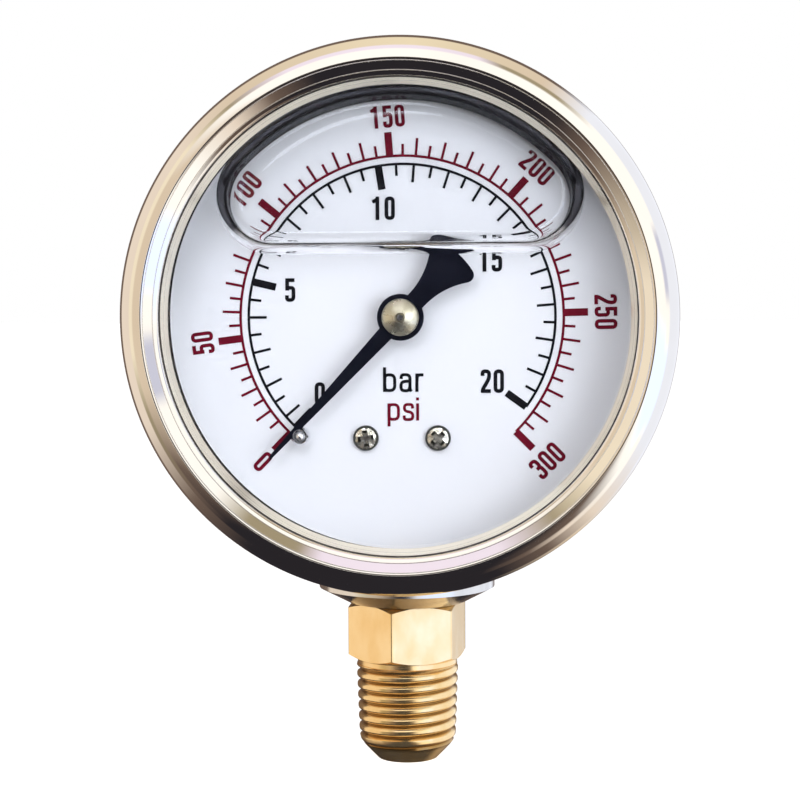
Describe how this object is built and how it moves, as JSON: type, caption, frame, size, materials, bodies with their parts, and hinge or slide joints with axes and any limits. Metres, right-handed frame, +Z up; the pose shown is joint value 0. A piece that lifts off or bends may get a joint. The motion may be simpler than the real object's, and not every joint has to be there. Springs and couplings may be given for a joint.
{
  "type": "glycerin-filled pressure gauge",
  "caption": "Round liquid-filled Bourdon tube pressure gauge with a crimped polished bezel ring, a black pointer and a brass bottom stem with hexagon and taper thread.",
  "frame": {"origin": "centre of the stem's lower end, where the pressure port opens", "axes": "+Z up the stem towards the case, -Y out of the dial towards the reader, +X to the reader's right"},
  "size_m": [0.069, 0.0329, 0.0931],
  "materials": {
    "polished_steel": "polished stainless steel",
    "window": "clear pane",
    "glycerin": "clear liquid with an air bubble",
    "black_rubber": "matt",
    "stem_brass": "turned, slightly mottled",
    "movement_brass": "rolled and turned",
    "dial_white": "matt white lacquer",
    "ink_red": "printed",
    "ink_black": "printed",
    "pointer_black": "satin black lacquer",
    "cap_metal": "turned, bright",
    "small_steel": "bright",
    "spring_bronze": "rolled strip"
  },
  "bodies": {
    "case": {"case_shell": "polished_steel", "bezel_ring": "polished_steel", "window": "window", "window_gasket": "black_rubber", "fill_plug": "black_rubber", "stem": "stem_brass", "stem_seal": "black_rubber", "restrictor": "movement_brass", "dial": "dial_white", "psi_scale": "ink_red", "bar_scale": "ink_black", "dial_screws": "small_steel", "stop_pin": "small_steel", "hairspring": "spring_bronze", "hairspring_stud": "movement_brass", "bourdon_tube": "spring_bronze", "back_plate": "movement_brass", "front_plate": "movement_brass", "pillars": "movement_brass", "plate_screws": "small_steel", "movement_screws": "small_steel"},
    "pointer": {"pointer": "pointer_black", "pointer_cap": "cap_metal", "pointer_arbor": "small_steel", "hairspring_collet": "movement_brass"},
    "sector": {"sector": "movement_brass", "sector_arbor": "small_steel"},
    "link": {"link": "movement_brass", "link_pin": "small_steel"},
    "tip": {"tube_tip": "movement_brass", "tip_screw": "small_steel"}
  },
  "joints": [
    {"name": "pointer_turn", "type": "hinge", "parent": "case", "child": "pointer", "pos_m": [0, 0, 0.0586], "axis": [0, 1, 0], "range_deg": [0, 280], "stiffness_Nm_per_rad": 0.00005, "springref_deg": -45.84, "deforming": ["hairspring"]},
    {"name": "sector_turn", "type": "hinge", "parent": "case", "child": "sector", "pos_m": [0.00983, 0, 0.05172], "axis": [0, 1, 0], "range_deg": [-40, 0]},
    {"name": "link_turn", "type": "hinge", "parent": "sector", "child": "link", "pos_m": [0.01218, 0, 0.04848], "axis": [0, 1, 0], "range_deg": [0, 34]},
    {"name": "tip_flex", "type": "hinge", "parent": "case", "child": "tip", "pos_m": [-0.00379, 0, 0.06401], "axis": [0, 1, 0], "range_deg": [-7, 0], "deforming": ["bourdon_tube"]}
  ],
  "couplings": [
    {"joint": "sector_turn", "follows": "pointer_turn", "ratio": -0.14286},
    {"joint": "link_turn", "follows": "pointer_turn", "ratio": 0.1214},
    {"joint": "tip_flex", "follows": "pointer_turn", "ratio": -0.025}
  ]
}
